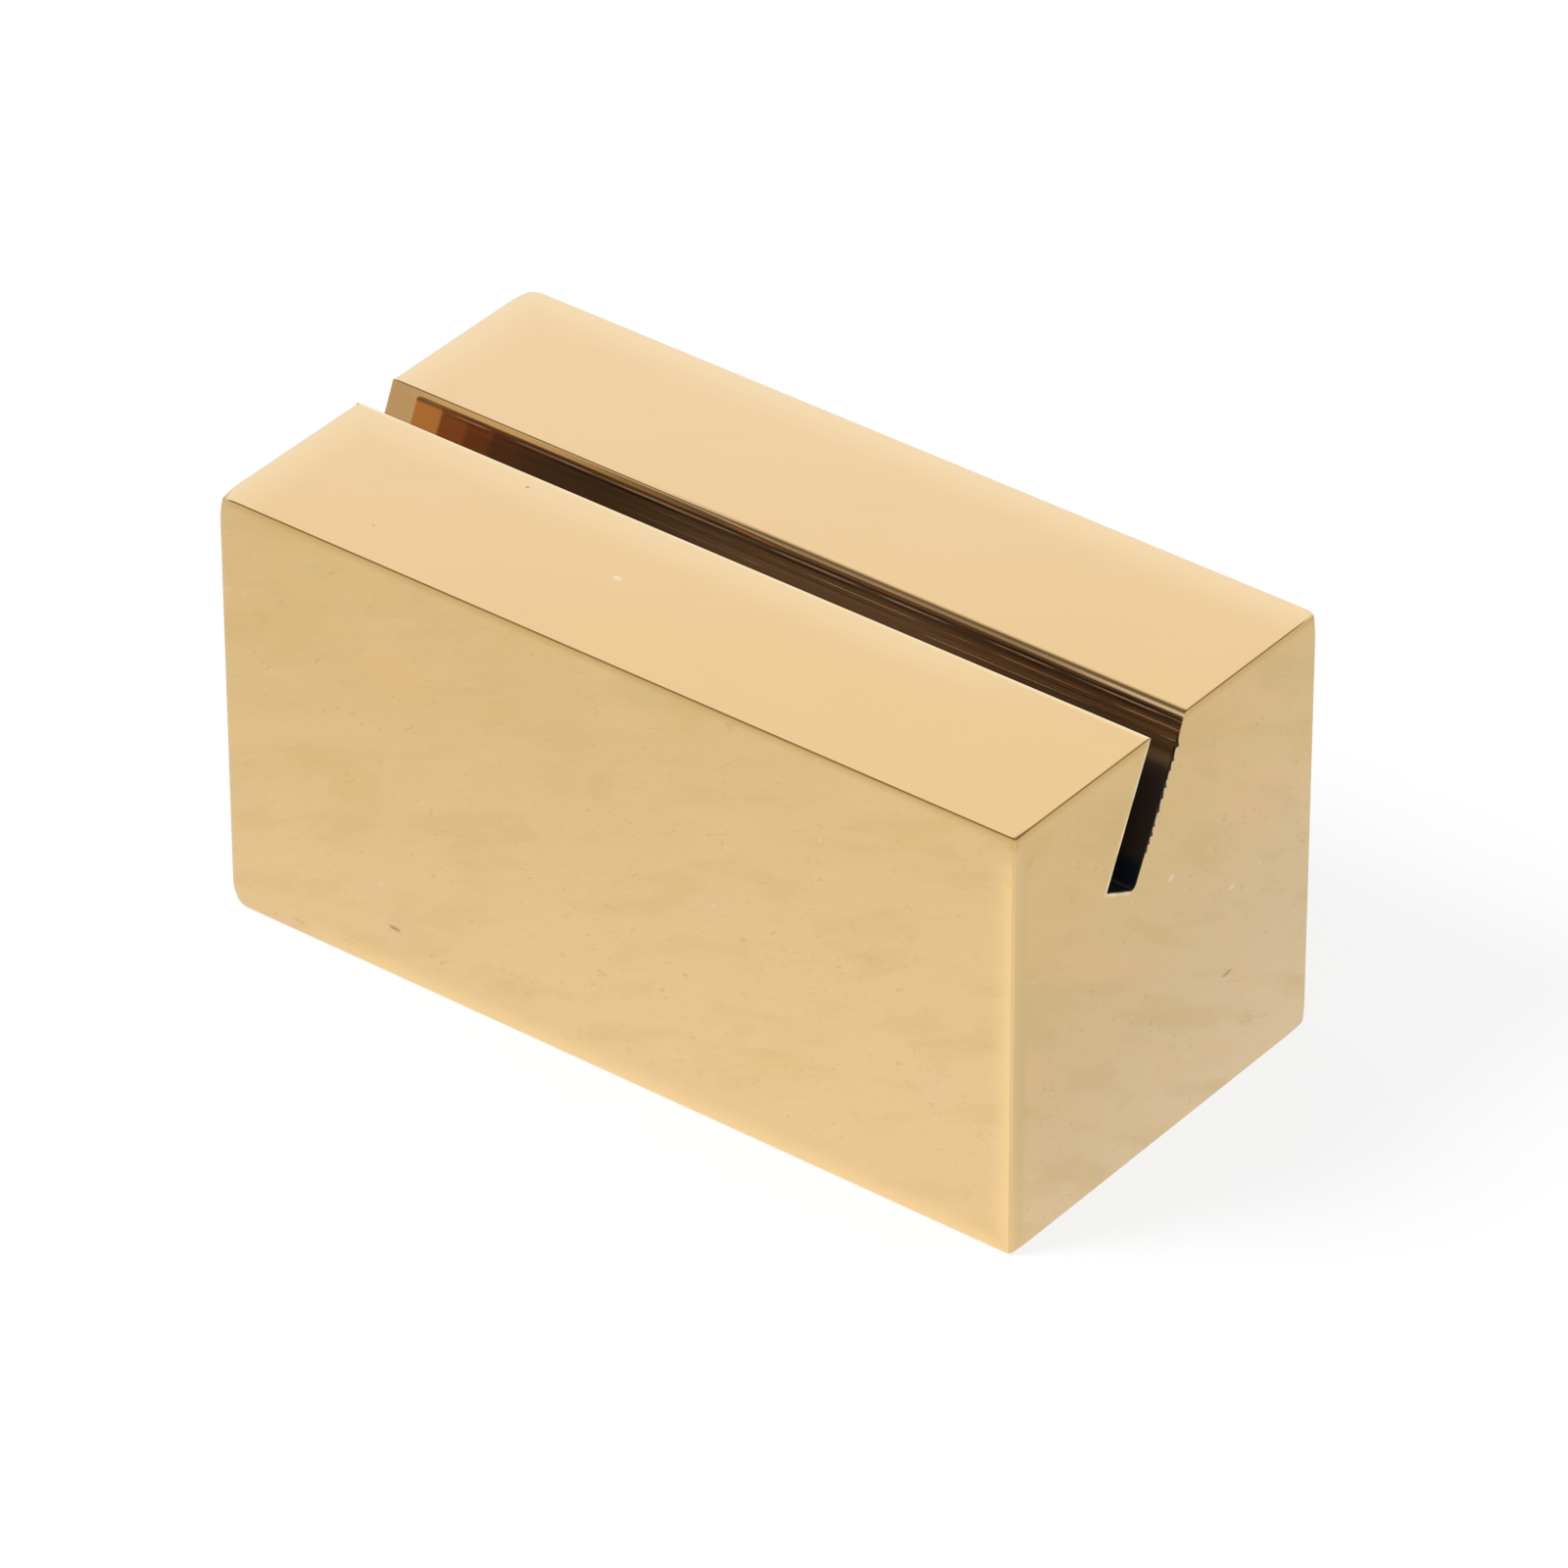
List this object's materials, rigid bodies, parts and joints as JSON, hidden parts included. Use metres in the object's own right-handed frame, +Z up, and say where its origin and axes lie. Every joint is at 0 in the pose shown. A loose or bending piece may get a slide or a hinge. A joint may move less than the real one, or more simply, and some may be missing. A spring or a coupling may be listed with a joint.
{
  "type": "place card holder",
  "caption": "Small solid rectangular metal block, gold toned and polished, with a leaning slot sawn along its top from end to end that holds a card upright and tipped back.",
  "frame": {"origin": "middle of the flat underside, which rests on the table", "axes": "+X along the block and its slot, +Y towards the back face, +Z up; a card in the slot leans towards +Y at its top"},
  "size_m": [0.04, 0.02, 0.02],
  "materials": {
    "polished_gold": "polished gold tone, with fine buffing haze on the sides and saw lines in the slot"
  },
  "bodies": {
    "root": {"block": "polished_gold"}
  },
  "joints": []
}
